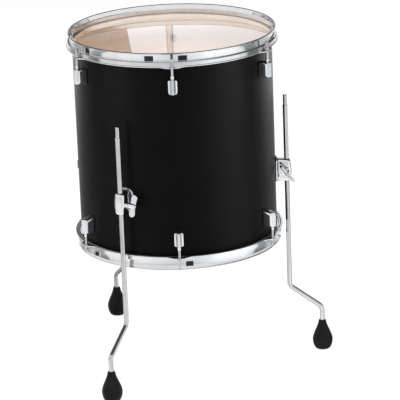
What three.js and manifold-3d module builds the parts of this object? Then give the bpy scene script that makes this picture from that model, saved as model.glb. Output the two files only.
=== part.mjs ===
import * as THREE from 'three';
import { mergeVertices } from 'three/addons/utils/BufferGeometryUtils.js';
import Module from 'manifold-3d';

// Floor tom: a deep wooden drum with two heads that stands on three bent rods.
// Millimetres, +Z up. The drum's axis is vertical and the floor is at the bottom of the feet.
// Azimuth 0 faces -Y and grows towards +X. Every repeated piece is drawn at azimuth 0 and turned.

const wasm = await Module();
wasm.setup();

// Driving dimensions of the drum
const shellRadius = 202;
const shellWall = 7;
const shellDepth = 406;
const floorToShell = 277;
const lugCount = 6;
const legCount = 3;
const firstLegAzimuth = -30;
const ventAzimuth = -90;

// Clearances
const fit = 0.3;
const cutOverrun = 2;

// Bearing edge, at both ends of the shell
const edgeCrestInset = 2.4;
const edgeRoundDrop = 2.4;
const edgeBevelDrop = 4.6;

// Head: clear film and the flesh hoop that holds it
const filmThickness = 0.4;
const collarGap = 2.2;
const collarFall = 0.8;
const fleshHoopWidth = 5;
const fleshHoopHeight = 8.4;
const fleshHoopDrop = 0.1;
const filmOpacity = 0.3;

// Pressed steel hoop, measured from the edge plane of the shell
const hoopSteel = 2.2;
const hoopPlay = 0.8;
const hoopDrop = 8.6;
const hoopRise = 19;
const neckPlay = 0.4;
const flangeLip = 1.6;
const rimLip = 2;
const rimRound = 0.8;
const shoulderRound = 1.2;
const earReach = 9.4;
const earFlatHalfWidth = 8;
const earHalfWidth = 27;

// Tension rods
const rodOffset = 16;
const rodRadius = 2.75;
const rodHoleRadius = 3.5;
const washerRadius = 5.8;
const washerHeight = 1.3;
const collarRadius = 4.9;
const collarHeight = 2.4;
const keySquare = 6.35;
const keyHeight = 12.5;
const rodReach = 19;

// Lugs
const lugWidth = 18.8;
const lugDepth = 24.4;
const lugHeight = 28.6;
const lugGap = 32;
const lugCorner = 7.6;
const lugBevel = 1.8;
const lugNose = 6;
const lugEndFall = 5.8;
const lugScrewFall = 17;
const lugScrewRadius = 2.5;
const lugScrewHeadRadius = 5.2;
const lugScrewHeadHeight = 3.2;
const lugScrewBite = 6;

// Swivel nuts
const nutRadius = 4.5;
const nutDepth = 21;
const nutNeckRadius = 3.8;
const nutNeckHeight = 8;

// Leg rods
const legOffset = 23;
const legRadius = 5;
const legRise = 160;
const upperBend = 141;
const lowerBend = 92;
const footOffset = 89;
const bendRadius = 14;
const legTipRadius = 4.1;
const legTipLength = 22;
const legTipChamfer = 1.4;

// Feet
const footHeight = 63;
const footRadius = 21;
const footWidestHeight = 22;
const footSoleRadius = 11;
const footNeckRadius = 7.6;
const footNeckRound = 1.6;
const footSwellShares = [0.35, 0.7];
const footNeckShares = [0.28, 0.52, 0.78];
const legInFoot = 42;

// Leg brackets, whose heights are measured from the axis of the wing nut
const clampRise = 117;
const bracketTop = 29;
const bracketBottom = 23;
const bracketBaseHalfWidth = 17;
const bracketBaseCorner = 14;
const bracketBaseThickness = 3.6;
const bracketBaseBevel = 5;
const bracketBodyHalfWidth = 11;
const bracketBodyReach = 33.4;
const bracketBodyTopReach = 30.8;
const bracketBodyTopDrop = 2.4;
const bracketBodyFloor = 11;
const bracketBodyRound = 2.6;
const bracketNeckHalfWidth = 8.8;
const bracketNeckReach = 30.4;
const bracketNeckChamfer = 3.4;
const bracketNeckRound = 2.2;
const bracketBossRadius = 5.4;
const bracketBossReach = 18.6;
const bracketBossRound = 1;
const bracketBoltRise = 21;
const bracketBoltFall = 17;
const bracketBoltRadius = 3;
const bracketBoltHeadRadius = 5.6;
const bracketBoltHeadHeight = 4;
const bracketBoltBite = 8;
const gasketThickness = 1.2;
const gasketMargin = 1.2;

// Eye bolts
const eyeWall = 2.4;
const eyeHeight = 8;
const eyeShankRadius = 3;
const eyeShankReach = 36;

// Wing nuts
const wingHubLength = 14.6;
const wingHubRadius = 6;
const wingHubEndRadius = 4.8;
const wingStart = 3.6;
const wingRootHalfWidth = 5.8;
const wingTipRadius = 6.6;
const wingTipCentre = 15.9;
const wingTipShift = 0.8;
const wingThickness = 5.6;
const wingBevel = 1.3;
const wingLean = { left: -22, right: 142, back: -22 };

// Vent
const ventRise = 145;
const ventBoreRadius = 5;
const ventWall = 1.2;
const ventFlange = 2.8;
const ventFlangeThickness = 2;

// Facets
const shellSides = 48;
const hoopSidesPerEar = 12;
const hoopEvenShare = 0.6;
const rodSides = 8;
const nutSides = 8;
const collarSides = 8;
const screwSides = 6;
const legSides = 10;
const footSides = 12;
const hubSides = 8;
const arcSteps = 3;
const noseSteps = 4;
const bevelSteps = 1;
const stationSlack = 1e-9;

// Values that follow from the ones above
const shellBottom = floorToShell;
const shellTop = shellBottom + shellDepth;
const ventHeight = shellBottom + ventRise;
const clampHeight = shellBottom + clampRise;
const legTop = clampHeight + legRise;
const shellInner = shellRadius - shellWall;
const shellInnerFlat = shellInner * Math.cos(Math.PI / shellSides);
const rodAxis = shellRadius + rodOffset;
const legAxis = shellRadius + legOffset;
const footAxis = shellRadius + footOffset;
const fleshInner = shellRadius + collarGap;
const fleshOuter = fleshInner + fleshHoopWidth;
const filmBottom = fit;
const filmTop = filmBottom + filmThickness;
const hoopSeat = fit - fleshHoopDrop;
const hoopNeckInner = fleshInner + neckPlay;
const hoopNeckOuter = hoopNeckInner + hoopSteel;
const hoopSkirtInner = fleshOuter + hoopPlay;
const hoopSkirtOuter = hoopSkirtInner + hoopSteel;
const earTop = hoopSteel - hoopDrop;
const lugTop = -lugGap;
const lugBottom = lugTop - lugHeight;
const lugBackBottom = lugBottom - lugEndFall;
const lugFace = shellRadius + lugDepth;
const lugScrewHeight = lugTop - lugScrewFall;
const bracketBack = shellRadius + fit + gasketThickness + fit;
const legBoreRadius = roundHole(legRadius, legSides);
const eyeRadius = legBoreRadius + eyeWall;
const nutBoreRadius = roundHole(rodRadius, nutSides);
const shankBoreRadius = roundHole(eyeShankRadius, rodSides);

// Circumradius of a faceted hole whose flats stay clear of a round of the given radius
function roundHole(radius, sides) {
  return (radius + fit) / Math.cos(Math.PI / sides);
}

// Materials
function metal(colour, roughness) {
  return new THREE.MeshStandardMaterial({ color: colour, roughness, metalness: 1 });
}

function dull(colour, roughness) {
  return new THREE.MeshStandardMaterial({ color: colour, roughness, metalness: 0 });
}

function clear(colour, roughness) {
  const film = dull(colour, roughness);
  film.transparent = true;
  film.opacity = filmOpacity;
  return film;
}

const lacquer = dull(0x141416, 0.42);
const film = clear(0xf3eeee, 0.12);
const hoopChrome = metal(0xd9dcdf, 0.08);
const lugChrome = metal(0xd6d8dc, 0.12);
const rodSteel = metal(0xc4c6ca, 0.22);
const bracketChrome = metal(0xd2d4d8, 0.16);
const nutBrass = metal(0xc9c8c4, 0.25);
const rubber = dull(0x17171a, 0.62);
const gasketRubber = dull(0x101012, 0.8);
const ventMetal = metal(0xcfd1d4, 0.2);

// Closed bodies: shared vertices, no collapsed triangles, faces outwards
function closedBody(source) {
  const bare = source.clone();
  bare.deleteAttribute('normal');
  bare.deleteAttribute('uv');
  const merged = mergeVertices(bare);
  const index = merged.index.array;
  const place = merged.attributes.position;
  const kept = [];
  const a = new THREE.Vector3();
  const b = new THREE.Vector3();
  const c = new THREE.Vector3();
  let volume = 0;
  for (let i = 0; i < index.length; i += 3) {
    const [p, q, r] = [index[i], index[i + 1], index[i + 2]];
    if (p === q || q === r || r === p) continue;
    a.fromBufferAttribute(place, p);
    b.fromBufferAttribute(place, q);
    c.fromBufferAttribute(place, r);
    volume += a.dot(b.cross(c));
    kept.push(p, q, r);
  }
  if (volume < 0) kept.reverse();
  merged.setIndex(kept);
  return merged;
}

function solid(geometry) {
  const body = closedBody(geometry);
  return new wasm.Manifold(new wasm.Mesh({
    numProp: 3,
    vertProperties: new Float32Array(body.attributes.position.array),
    triVerts: new Uint32Array(body.index.array),
  }));
}

function shape(manifold) {
  const mesh = manifold.getMesh();
  const geometry = new THREE.BufferGeometry();
  geometry.setAttribute('position', new THREE.BufferAttribute(new Float32Array(mesh.vertProperties), 3));
  geometry.setIndex(Array.from(mesh.triVerts));
  geometry.computeVertexNormals();
  return geometry;
}

function joined(...geometries) {
  return shape(geometries.map(solid).reduce((sum, next) => sum.add(next)));
}

function cut(geometry, ...tools) {
  return shape(tools.map(solid).reduce((rest, tool) => rest.subtract(tool), solid(geometry)));
}

function common(first, second) {
  return shape(solid(first).intersect(solid(second)));
}

// A body of revolution about Z from a profile of [radius, height] points
function revolved(profile, sides) {
  const points = profile.map(([radius, height]) => new THREE.Vector2(radius, height));
  const turned = new THREE.LatheGeometry(points, sides);
  turned.rotateX(Math.PI / 2);
  return turned;
}

function closedProfile(profile) {
  return [...profile, profile[0]];
}

// A faceted round bar along Z between two heights
function bar(radius, from, to, sides) {
  const round = new THREE.CylinderGeometry(radius, radius, to - from, sides);
  round.rotateX(Math.PI / 2);
  round.translate(0, 0, (from + to) / 2);
  return round;
}

// The same along the outward direction -Y, between two distances from the drum's axis
function outwardBar(radius, from, to, height, sides) {
  const round = bar(radius, from, to, sides);
  round.rotateX(Math.PI / 2);
  round.translate(0, 0, height);
  return round;
}

// The same along X through a point of the outward axis
function sidewaysBar(radius, from, to, distance, height, sides) {
  const round = bar(radius, from, to, sides);
  round.rotateY(Math.PI / 2);
  round.translate(0, -distance, height);
  return round;
}

function drumCylinder(radius, from, to) {
  return bar(radius, from, to, shellSides);
}

// An outline in X and Z pushed outwards, with a bevel that narrows its outer end
function pushedOutwards(outline, from, to, bevel) {
  const block = new THREE.ExtrudeGeometry(outline, {
    depth: to - from - 2 * bevel,
    bevelEnabled: bevel > 0,
    bevelThickness: bevel,
    bevelSize: bevel,
    bevelOffset: -bevel,
    bevelSegments: bevelSteps,
    curveSegments: arcSteps,
  });
  block.rotateX(Math.PI / 2);
  block.translate(0, -from - bevel, 0);
  return block;
}

// An outline in distance and Z spread evenly to both sides of the middle, with rounded edges
function spreadSideways(outline, halfWidth, bevel) {
  const block = new THREE.ExtrudeGeometry(outline, {
    depth: 2 * (halfWidth - bevel),
    bevelEnabled: bevel > 0,
    bevelThickness: bevel,
    bevelSize: bevel,
    bevelOffset: -bevel,
    bevelSegments: bevelSteps,
    curveSegments: arcSteps,
  });
  block.translate(0, 0, bevel - halfWidth);
  block.rotateX(Math.PI / 2);
  block.rotateZ(-Math.PI / 2);
  return block;
}

function polygon(points) {
  return new THREE.Shape(points.map(([across, up]) => new THREE.Vector2(across, up)));
}

function roundedRectangle(halfWidth, bottom, top, corner) {
  const outline = new THREE.Shape();
  outline.moveTo(corner - halfWidth, bottom);
  outline.lineTo(halfWidth - corner, bottom);
  outline.absarc(halfWidth - corner, bottom + corner, corner, -Math.PI / 2, 0, false);
  outline.lineTo(halfWidth, top - corner);
  outline.absarc(halfWidth - corner, top - corner, corner, 0, Math.PI / 2, false);
  outline.lineTo(corner - halfWidth, top);
  outline.absarc(corner - halfWidth, top - corner, corner, Math.PI / 2, Math.PI, false);
  outline.lineTo(-halfWidth, bottom + corner);
  outline.absarc(corner - halfWidth, bottom + corner, corner, Math.PI, 1.5 * Math.PI, false);
  return outline;
}

// A path through stations, one step of an extrusion to each station
class StationPath extends THREE.Curve {
  constructor(stations) {
    super();
    this.stations = stations;
  }

  getUtoTmapping(share) {
    return share;
  }

  getPoint(share, target = new THREE.Vector3()) {
    const last = this.stations.length - 1;
    const whole = Math.min(Math.floor(share * last + stationSlack), last - 1);
    return target.lerpVectors(this.stations[whole], this.stations[whole + 1], share * last - whole);
  }
}

// Stations along straight runs between corners, with an arc at each inner corner
function bentStations(corners, radius) {
  const stations = [corners[0]];
  for (let i = 1; i < corners.length - 1; i += 1) {
    const before = corners[i - 1].clone().sub(corners[i]).normalize();
    const after = corners[i + 1].clone().sub(corners[i]).normalize();
    const halfAngle = before.angleTo(after) / 2;
    const inwards = before.clone().add(after).normalize();
    const centre = corners[i].clone().addScaledVector(inwards, radius / Math.sin(halfAngle));
    const reach = radius / Math.tan(halfAngle);
    const start = corners[i].clone().addScaledVector(before, reach).sub(centre);
    const end = corners[i].clone().addScaledVector(after, reach).sub(centre);
    const sweep = start.angleTo(end);
    const axis = start.clone().cross(end).normalize();
    for (let step = 0; step <= arcSteps; step += 1) {
      stations.push(start.clone().applyAxisAngle(axis, sweep * step / arcSteps).add(centre));
    }
  }
  stations.push(corners[corners.length - 1]);
  return stations;
}

// Shell: a wooden tube with bearing edges, drilled for screws, bolts and the vent
function shellTube() {
  const crest = shellRadius - edgeCrestInset;
  return revolved(closedProfile([
    [shellInner, shellBottom + edgeBevelDrop],
    [crest, shellBottom],
    [shellRadius, shellBottom + edgeRoundDrop],
    [shellRadius, shellTop - edgeRoundDrop],
    [crest, shellTop],
    [shellInner, shellTop - edgeBevelDrop],
  ]), shellSides);
}

function shellHole(radius, azimuth, height, sides) {
  const drill = outwardBar(
    roundHole(radius, sides),
    shellInner - cutOverrun,
    shellRadius + cutOverrun,
    height,
    sides,
  );
  drill.rotateZ(THREE.MathUtils.degToRad(azimuth));
  return drill;
}

function shell() {
  const holes = [];
  for (let i = 0; i < lugCount; i += 1) {
    for (const edge of [shellTop, shellBottom]) {
      const height = edge === shellTop ? edge + lugScrewHeight : edge - lugScrewHeight;
      holes.push(shellHole(lugScrewRadius, i * 360 / lugCount, height, screwSides));
    }
  }
  for (let i = 0; i < legCount; i += 1) {
    for (const height of bracketBoltHeights()) {
      holes.push(shellHole(bracketBoltRadius, legAzimuth(i), height, screwSides));
    }
  }
  holes.push(shellHole(ventBoreRadius + ventWall, ventAzimuth, ventHeight, hubSides));
  return cut(shellTube(), ...holes);
}

function bracketBoltHeights() {
  return [clampHeight + bracketBoltRise, clampHeight - bracketBoltFall];
}

function legAzimuth(i) {
  return firstLegAzimuth + i * 360 / legCount;
}

// Head: film over the bearing edge, running down into its flesh hoop
function head() {
  return revolved([
    [0, filmBottom],
    [fleshInner, filmBottom],
    [fleshInner, -fleshHoopHeight],
    [fleshOuter, -fleshHoopHeight],
    [fleshOuter, -fleshHoopDrop],
    [fleshInner + collarFall, -fleshHoopDrop],
    [fleshInner - collarFall, filmTop],
    [0, filmTop],
  ], shellSides);
}

// Hoop: a pressed section turned round the drum, whose flange swells into an ear at each rod
function hoopProfile() {
  return closedProfile([
    [hoopSkirtInner, -hoopDrop],
    [hoopSkirtOuter + flangeLip, -hoopDrop],
    [hoopSkirtOuter + flangeLip, earTop],
    [hoopSkirtOuter, earTop],
    [hoopSkirtOuter, hoopSeat + hoopSteel - shoulderRound],
    [hoopNeckOuter, hoopSeat + hoopSteel],
    [hoopNeckOuter, hoopRise - rimLip],
    [hoopNeckOuter + rimLip, hoopRise - rimRound],
    [hoopNeckOuter + rimLip - rimRound, hoopRise],
    [hoopNeckInner, hoopRise],
    [hoopNeckInner, hoopSeat],
    [hoopSkirtInner, hoopSeat],
  ]);
}

// How far the ear stands out at an arc distance from its rod: 1 on the flat, 0 past the ear
function earShare(arc) {
  return 1 - THREE.MathUtils.smoothstep(Math.abs(arc), earFlatHalfWidth, earHalfWidth);
}

function hoop() {
  const ring = revolved(hoopProfile(), lugCount * hoopSidesPerEar);
  const place = ring.attributes.position;
  const sector = 2 * Math.PI / lugCount;
  for (let i = 0; i < place.count; i += 1) {
    const radius = Math.hypot(place.getX(i), place.getY(i));
    const angle = Math.atan2(place.getX(i), -place.getY(i));
    const rod = Math.round(angle / sector) * sector;
    const even = 2 * (angle - rod) / sector;
    const turn = sector / 2 * (hoopEvenShare * even + (1 - hoopEvenShare) * even ** 3);
    const swell = earShare(rodAxis * turn);
    const standsOut = radius > hoopSkirtOuter + flangeLip / 2;
    const reach = radius + (standsOut ? earReach * swell : 0);
    place.setXYZ(i, reach * Math.sin(rod + turn), -reach * Math.cos(rod + turn), place.getZ(i));
  }
  const holes = [];
  for (let i = 0; i < lugCount; i += 1) {
    const hole = bar(rodHoleRadius, -hoopDrop - cutOverrun, earTop + cutOverrun, screwSides);
    hole.translate(0, -rodAxis, 0);
    hole.rotateZ(i * sector);
    holes.push(hole);
  }
  return cut(ring, ...holes);
}

// Lug: a casting with a crowned front and a sloped, rounded closed end, screwed on from inside
function lugPlan() {
  const plan = new THREE.Shape();
  const halfWidth = lugWidth / 2;
  const back = shellInner;
  const shoulder = lugFace - lugNose;
  plan.moveTo(-halfWidth, back);
  plan.lineTo(halfWidth, back);
  plan.lineTo(halfWidth, shoulder);
  plan.absellipse(0, shoulder, halfWidth, lugNose, 0, Math.PI, false, 0);
  plan.lineTo(-halfWidth, back);
  return plan;
}

function lugColumn() {
  const column = new THREE.ExtrudeGeometry(lugPlan(), {
    depth: lugTop - lugBackBottom,
    bevelEnabled: false,
    curveSegments: noseSteps,
  });
  column.scale(1, -1, 1);
  column.translate(0, 0, lugBackBottom);
  return column;
}

function lugFront() {
  const outline = new THREE.Shape();
  const halfWidth = lugWidth / 2;
  outline.moveTo(-halfWidth, lugTop);
  const cornerHeight = lugBackBottom + lugCorner;
  outline.lineTo(-halfWidth, cornerHeight);
  outline.absarc(lugCorner - halfWidth, cornerHeight, lugCorner, Math.PI, 1.5 * Math.PI, false);
  outline.lineTo(halfWidth - lugCorner, lugBackBottom);
  outline.absarc(halfWidth - lugCorner, cornerHeight, lugCorner, 1.5 * Math.PI, 2 * Math.PI, false);
  outline.lineTo(halfWidth, lugTop);
  return outline;
}

function lugSide() {
  return spreadSideways(polygon([
    [shellInner, lugBackBottom],
    [shellRadius, lugBackBottom],
    [lugFace, lugBottom],
    [lugFace + cutOverrun, lugBottom],
    [lugFace + cutOverrun, lugTop + cutOverrun],
    [shellInner, lugTop + cutOverrun],
  ]), lugWidth, 0);
}

function headedScrew(radius, headRadius, headHeight, bite, height) {
  const inside = shellInnerFlat - fit;
  return joined(
    outwardBar(radius, inside - headHeight / 2, shellRadius + bite, height, screwSides),
    outwardBar(headRadius, inside - headHeight, inside, height, screwSides),
  );
}

function lug() {
  const front = pushedOutwards(lugFront(), shellInner - lugBevel, lugFace, lugBevel);
  const body = common(common(lugColumn(), front), lugSide());
  const seated = cut(
    body,
    drumCylinder(shellRadius + fit, lugBackBottom - cutOverrun, lugTop + cutOverrun),
    nutPocket(),
  );
  const screw = headedScrew(
    lugScrewRadius,
    lugScrewHeadRadius,
    lugScrewHeadHeight,
    lugScrewBite,
    lugScrewHeight,
  );
  return joined(seated, screw);
}

function nutPocket() {
  const pocket = bar(
    roundHole(nutRadius, nutSides),
    lugTop - nutDepth - fit,
    lugTop + cutOverrun,
    nutSides,
  );
  pocket.translate(0, -rodAxis, 0);
  return pocket;
}

// Swivel nut: sits in the mouth of the lug, with a rounded neck round the rod
function swivelNut() {
  const nut = revolved(closedProfile([
    [nutBoreRadius, lugTop - nutDepth],
    [nutRadius, lugTop - nutDepth],
    [nutRadius, lugTop + nutNeckHeight / 2],
    [nutNeckRadius, lugTop + nutNeckHeight],
    [nutBoreRadius, lugTop + nutNeckHeight],
  ]), nutSides);
  nut.translate(0, -rodAxis, 0);
  return nut;
}

// Tension rod: washer, collar and square key head in one with the rod
function tensionRod() {
  const washerFoot = earTop + fit;
  const collarFoot = washerFoot + washerHeight;
  const keyFoot = collarFoot + collarHeight;
  const stem = revolved([
    [0, lugTop - rodReach],
    [rodRadius, lugTop - rodReach],
    [rodRadius, washerFoot],
    [washerRadius, washerFoot],
    [washerRadius, collarFoot],
    [collarRadius, collarFoot],
    [collarRadius, keyFoot],
    [0, keyFoot],
  ], collarSides);
  const key = new THREE.BoxGeometry(keySquare, keySquare, keyHeight + collarHeight);
  key.translate(0, 0, keyFoot + (keyHeight - collarHeight) / 2);
  const rod = joined(stem, key);
  rod.translate(0, -rodAxis, 0);
  return rod;
}

// Bracket: a casting with a flared foot, a crowned clamp body, a narrow neck and a boss
function bracketFoot() {
  return pushedOutwards(
    roundedRectangle(
      bracketBaseHalfWidth,
      clampHeight - bracketBottom,
      clampHeight + bracketTop,
      bracketBaseCorner,
    ),
    shellRadius - bracketBaseThickness - 2 * bracketBaseBevel,
    bracketBack + bracketBaseThickness + bracketBaseBevel,
    bracketBaseBevel,
  );
}

function bracketBody() {
  const top = clampHeight + bracketTop - bracketBaseThickness;
  return spreadSideways(polygon([
    [shellRadius, clampHeight - bracketBodyFloor],
    [shellRadius + bracketBodyReach - bracketBodyRound, clampHeight - bracketBodyFloor],
    [shellRadius + bracketBodyReach, clampHeight - bracketBodyFloor + bracketBodyRound],
    [shellRadius + bracketBodyReach, clampHeight],
    [shellRadius + bracketBodyTopReach, top - bracketBodyTopDrop - bracketBodyRound],
    [shellRadius + bracketBodyTopReach - bracketBodyRound, top - bracketBodyTopDrop],
    [shellRadius, top],
  ]), bracketBodyHalfWidth, bracketBodyRound);
}

function bracketNeck() {
  const bottom = clampHeight - bracketBottom + fit;
  return spreadSideways(polygon([
    [shellRadius, bottom],
    [shellRadius + bracketNeckReach - bracketNeckChamfer, bottom],
    [shellRadius + bracketNeckReach, bottom + bracketNeckChamfer],
    [shellRadius + bracketNeckReach, clampHeight],
    [shellRadius, clampHeight],
  ]), bracketNeckHalfWidth, bracketNeckRound);
}

function bracketBoss() {
  const boss = revolved([
    [0, 0],
    [bracketBossRadius, 0],
    [bracketBossRadius, bracketBossReach - bracketBossRound],
    [bracketBossRadius - bracketBossRound, bracketBossReach],
    [0, bracketBossReach],
  ], hubSides);
  boss.rotateY(Math.PI / 2);
  boss.translate(0, -legAxis, clampHeight);
  return boss;
}

function legBore() {
  const bore = bar(
    legBoreRadius,
    clampHeight - bracketBottom - cutOverrun,
    clampHeight + bracketTop + cutOverrun,
    legSides,
  );
  bore.translate(0, -legAxis, 0);
  return bore;
}

function eyePocket() {
  const pocket = bar(
    roundHole(eyeRadius, legSides),
    clampHeight - eyeHeight / 2 - fit,
    clampHeight + eyeHeight / 2 + fit,
    legSides,
  );
  pocket.translate(0, -legAxis, 0);
  return pocket;
}

function bracket() {
  const shankHole = sidewaysBar(
    shankBoreRadius,
    0,
    bracketBossReach + cutOverrun,
    legAxis,
    clampHeight,
    rodSides,
  );
  const casting = cut(
    joined(bracketFoot(), bracketBody(), bracketNeck(), bracketBoss()),
    drumCylinder(
      bracketBack,
      clampHeight - bracketBottom - cutOverrun,
      clampHeight + bracketTop + cutOverrun,
    ),
    legBore(),
    eyePocket(),
    shankHole,
  );
  const bolts = bracketBoltHeights().map((height) => headedScrew(
    bracketBoltRadius,
    bracketBoltHeadRadius,
    bracketBoltHeadHeight,
    bracketBoltBite,
    height,
  ));
  return joined(casting, ...bolts);
}

function gasket() {
  const from = clampHeight - bracketBottom - gasketMargin;
  const to = clampHeight + bracketTop + gasketMargin;
  const outline = roundedRectangle(
    bracketBaseHalfWidth + gasketMargin,
    from,
    to,
    bracketBaseCorner + gasketMargin,
  );
  const pad = common(
    pushedOutwards(outline, shellInner, bracketBack, 0),
    drumCylinder(bracketBack - fit, from - cutOverrun, to + cutOverrun),
  );
  const holes = bracketBoltHeights().map((height) => outwardBar(
    roundHole(bracketBoltRadius, screwSides),
    shellInner - cutOverrun,
    bracketBack + cutOverrun,
    height,
    screwSides,
  ));
  return cut(pad, drumCylinder(shellRadius + fit, from - cutOverrun, to + cutOverrun), ...holes);
}

// Eye bolt: its eye goes round the leg rod and its shank leaves through the boss
function eyeBolt() {
  const ring = bar(eyeRadius, clampHeight - eyeHeight / 2, clampHeight + eyeHeight / 2, legSides);
  ring.translate(0, -legAxis, 0);
  const shank = sidewaysBar(eyeShankRadius, 0, eyeShankReach, legAxis, clampHeight, rodSides);
  return cut(joined(ring, shank), legBore());
}

// Wing nut: a tapered hub with two flat wings that flare away from the bracket
function wingOutline() {
  const outline = new THREE.Shape();
  const middle = wingStart + wingRootHalfWidth;
  const tip = middle + wingTipShift;
  outline.moveTo(middle - wingRootHalfWidth, 0);
  outline.lineTo(tip - wingTipRadius, wingTipCentre);
  outline.absarc(tip, wingTipCentre, wingTipRadius, Math.PI, 0, true);
  outline.lineTo(middle + wingRootHalfWidth, 0);
  outline.lineTo(tip + wingTipRadius, -wingTipCentre);
  outline.absarc(tip, -wingTipCentre, wingTipRadius, 0, Math.PI, true);
  outline.lineTo(middle - wingRootHalfWidth, 0);
  return outline;
}

function wingNut(lean) {
  const hub = revolved([
    [0, 0],
    [wingHubRadius, 0],
    [wingHubRadius, wingBevel],
    [wingHubEndRadius, wingHubLength],
    [0, wingHubLength],
  ], hubSides);
  hub.rotateY(Math.PI / 2);
  const wings = new THREE.ExtrudeGeometry(wingOutline(), {
    depth: wingThickness - 2 * wingBevel,
    bevelEnabled: true,
    bevelThickness: wingBevel,
    bevelSize: wingBevel,
    bevelOffset: -wingBevel,
    bevelSegments: bevelSteps,
    curveSegments: noseSteps,
  });
  wings.translate(0, 0, wingBevel - wingThickness / 2);
  wings.rotateX(Math.PI / 2);
  const boreEnd = Math.max(wingHubLength, wingStart + 2 * wingRootHalfWidth) + cutOverrun;
  const bore = sidewaysBar(shankBoreRadius, -cutOverrun, boreEnd, 0, 0, rodSides);
  const nut = cut(joined(hub, wings), bore);
  nut.rotateX(THREE.MathUtils.degToRad(lean));
  nut.translate(bracketBossReach + fit, -legAxis, clampHeight);
  return nut;
}

// Leg rod: straight through the bracket, bent outwards and down again above the foot
function legRod() {
  const at = (distance, height) => new THREE.Vector3(0, -distance, height);
  const path = new StationPath(bentStations([
    at(legAxis, legTop - legTipLength),
    at(legAxis, upperBend),
    at(footAxis, lowerBend),
    at(footAxis, footHeight - legInFoot),
  ], bendRadius));
  const section = new THREE.Shape();
  for (let i = 0; i < legSides; i += 1) {
    const angle = 2 * Math.PI * i / legSides;
    const corner = [legRadius * Math.cos(angle), legRadius * Math.sin(angle)];
    if (i === 0) section.moveTo(...corner);
    else section.lineTo(...corner);
  }
  const run = new THREE.ExtrudeGeometry(section, {
    steps: path.stations.length - 1,
    extrudePath: path,
  });
  const tip = revolved([
    [0, legTop - 2 * legTipLength],
    [legRadius, legTop - 2 * legTipLength],
    [legRadius, legTop - legTipLength],
    [legTipRadius, legTop - legTipLength],
    [legTipRadius, legTop - legTipChamfer],
    [legTipRadius - legTipChamfer, legTop],
    [0, legTop],
  ], legSides);
  tip.translate(0, -legAxis, 0);
  return joined(run, tip);
}

// Foot: a drop of rubber with a flat sole and a socket for the rod
function foot() {
  const swell = footSwellShares.map((share) => [
    footSoleRadius + (footRadius - footSoleRadius) * Math.sin(share * Math.PI / 2),
    footWidestHeight * (1 - Math.cos(share * Math.PI / 2)),
  ]);
  const fall = footNeckShares.map((share) => [
    footNeckRadius + (footRadius - footNeckRadius) * (1 + Math.cos(Math.PI * share)) / 2,
    footWidestHeight + (footHeight - footWidestHeight) * share,
  ]);
  const drop = revolved([
    [0, 0],
    [footSoleRadius, 0],
    ...swell,
    [footRadius, footWidestHeight],
    ...fall,
    [footNeckRadius, footHeight - footNeckRound],
    [footNeckRadius - footNeckRound, footHeight],
    [0, footHeight],
  ], footSides);
  const socket = bar(legBoreRadius, footHeight - legInFoot - fit, footHeight + cutOverrun, legSides);
  const rubberFoot = cut(drop, socket);
  rubberFoot.translate(0, -footAxis, 0);
  return rubberFoot;
}

// Vent grommet: a metal eyelet through the shell
function ventGrommet() {
  const sleeve = ventBoreRadius + ventWall;
  const inside = shellInnerFlat - fit;
  const outside = shellRadius + fit;
  const eyelet = revolved(closedProfile([
    [ventBoreRadius, inside - ventFlangeThickness],
    [sleeve + ventWall, inside - ventFlangeThickness],
    [sleeve + ventWall, inside],
    [sleeve, inside],
    [sleeve, outside],
    [sleeve + ventFlange, outside],
    [sleeve + ventFlange - ventFlangeThickness, outside + ventFlangeThickness],
    [ventBoreRadius, outside + ventFlangeThickness],
  ]), hubSides);
  eyelet.rotateX(Math.PI / 2);
  eyelet.translate(0, 0, ventHeight);
  return eyelet;
}

function mirrored(geometry) {
  const other = geometry.clone();
  other.scale(-1, 1, 1);
  return closedBody(other);
}

// Assembly
function piece(name, geometry, material, azimuth) {
  const mesh = new THREE.Mesh(closedBody(geometry), material);
  mesh.name = name;
  mesh.rotation.z = THREE.MathUtils.degToRad(azimuth);
  return mesh;
}

function drumEnd(end, height, turn) {
  const side = new THREE.Group();
  side.position.z = height;
  side.rotation.y = turn;
  side.add(piece(`${end}_head`, head(), film, 0));
  side.add(piece(`${end}_hoop`, hoop(), hoopChrome, 0));
  const lugBody = lug();
  const nutBody = swivelNut();
  const rodBody = tensionRod();
  for (let i = 0; i < lugCount; i += 1) {
    const azimuth = i * 360 / lugCount;
    side.add(piece(`${end}_lug_${i + 1}`, lugBody, lugChrome, azimuth));
    side.add(piece(`${end}_swivel_nut_${i + 1}`, nutBody, nutBrass, azimuth));
    side.add(piece(`${end}_tension_rod_${i + 1}`, rodBody, rodSteel, azimuth));
  }
  return side;
}

function leg(place, azimuth, handed) {
  const side = new THREE.Group();
  side.rotation.z = THREE.MathUtils.degToRad(azimuth);
  side.add(piece(`leg_rod_${place}`, legRod(), rodSteel, 0));
  side.add(piece(`foot_${place}`, foot(), rubber, 0));
  side.add(piece(`leg_bracket_${place}`, handed(bracket()), bracketChrome, 0));
  side.add(piece(`bracket_gasket_${place}`, gasket(), gasketRubber, 0));
  side.add(piece(`eye_bolt_${place}`, handed(eyeBolt()), rodSteel, 0));
  side.add(piece(`wing_nut_${place}`, handed(wingNut(wingLean[place])), bracketChrome, 0));
  return side;
}

const drum = new THREE.Group();
drum.add(piece('shell', shell(), lacquer, 0));
drum.add(drumEnd('batter', shellTop, 0));
drum.add(drumEnd('resonant', shellBottom, Math.PI));
const asDrawn = (geometry) => geometry;
const legPlaces = [['left', asDrawn], ['right', mirrored], ['back', asDrawn]];
legPlaces.forEach(([place, handed], i) => drum.add(leg(place, legAzimuth(i), handed)));
drum.add(piece('vent_grommet', ventGrommet(), ventMetal, ventAzimuth));

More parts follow.
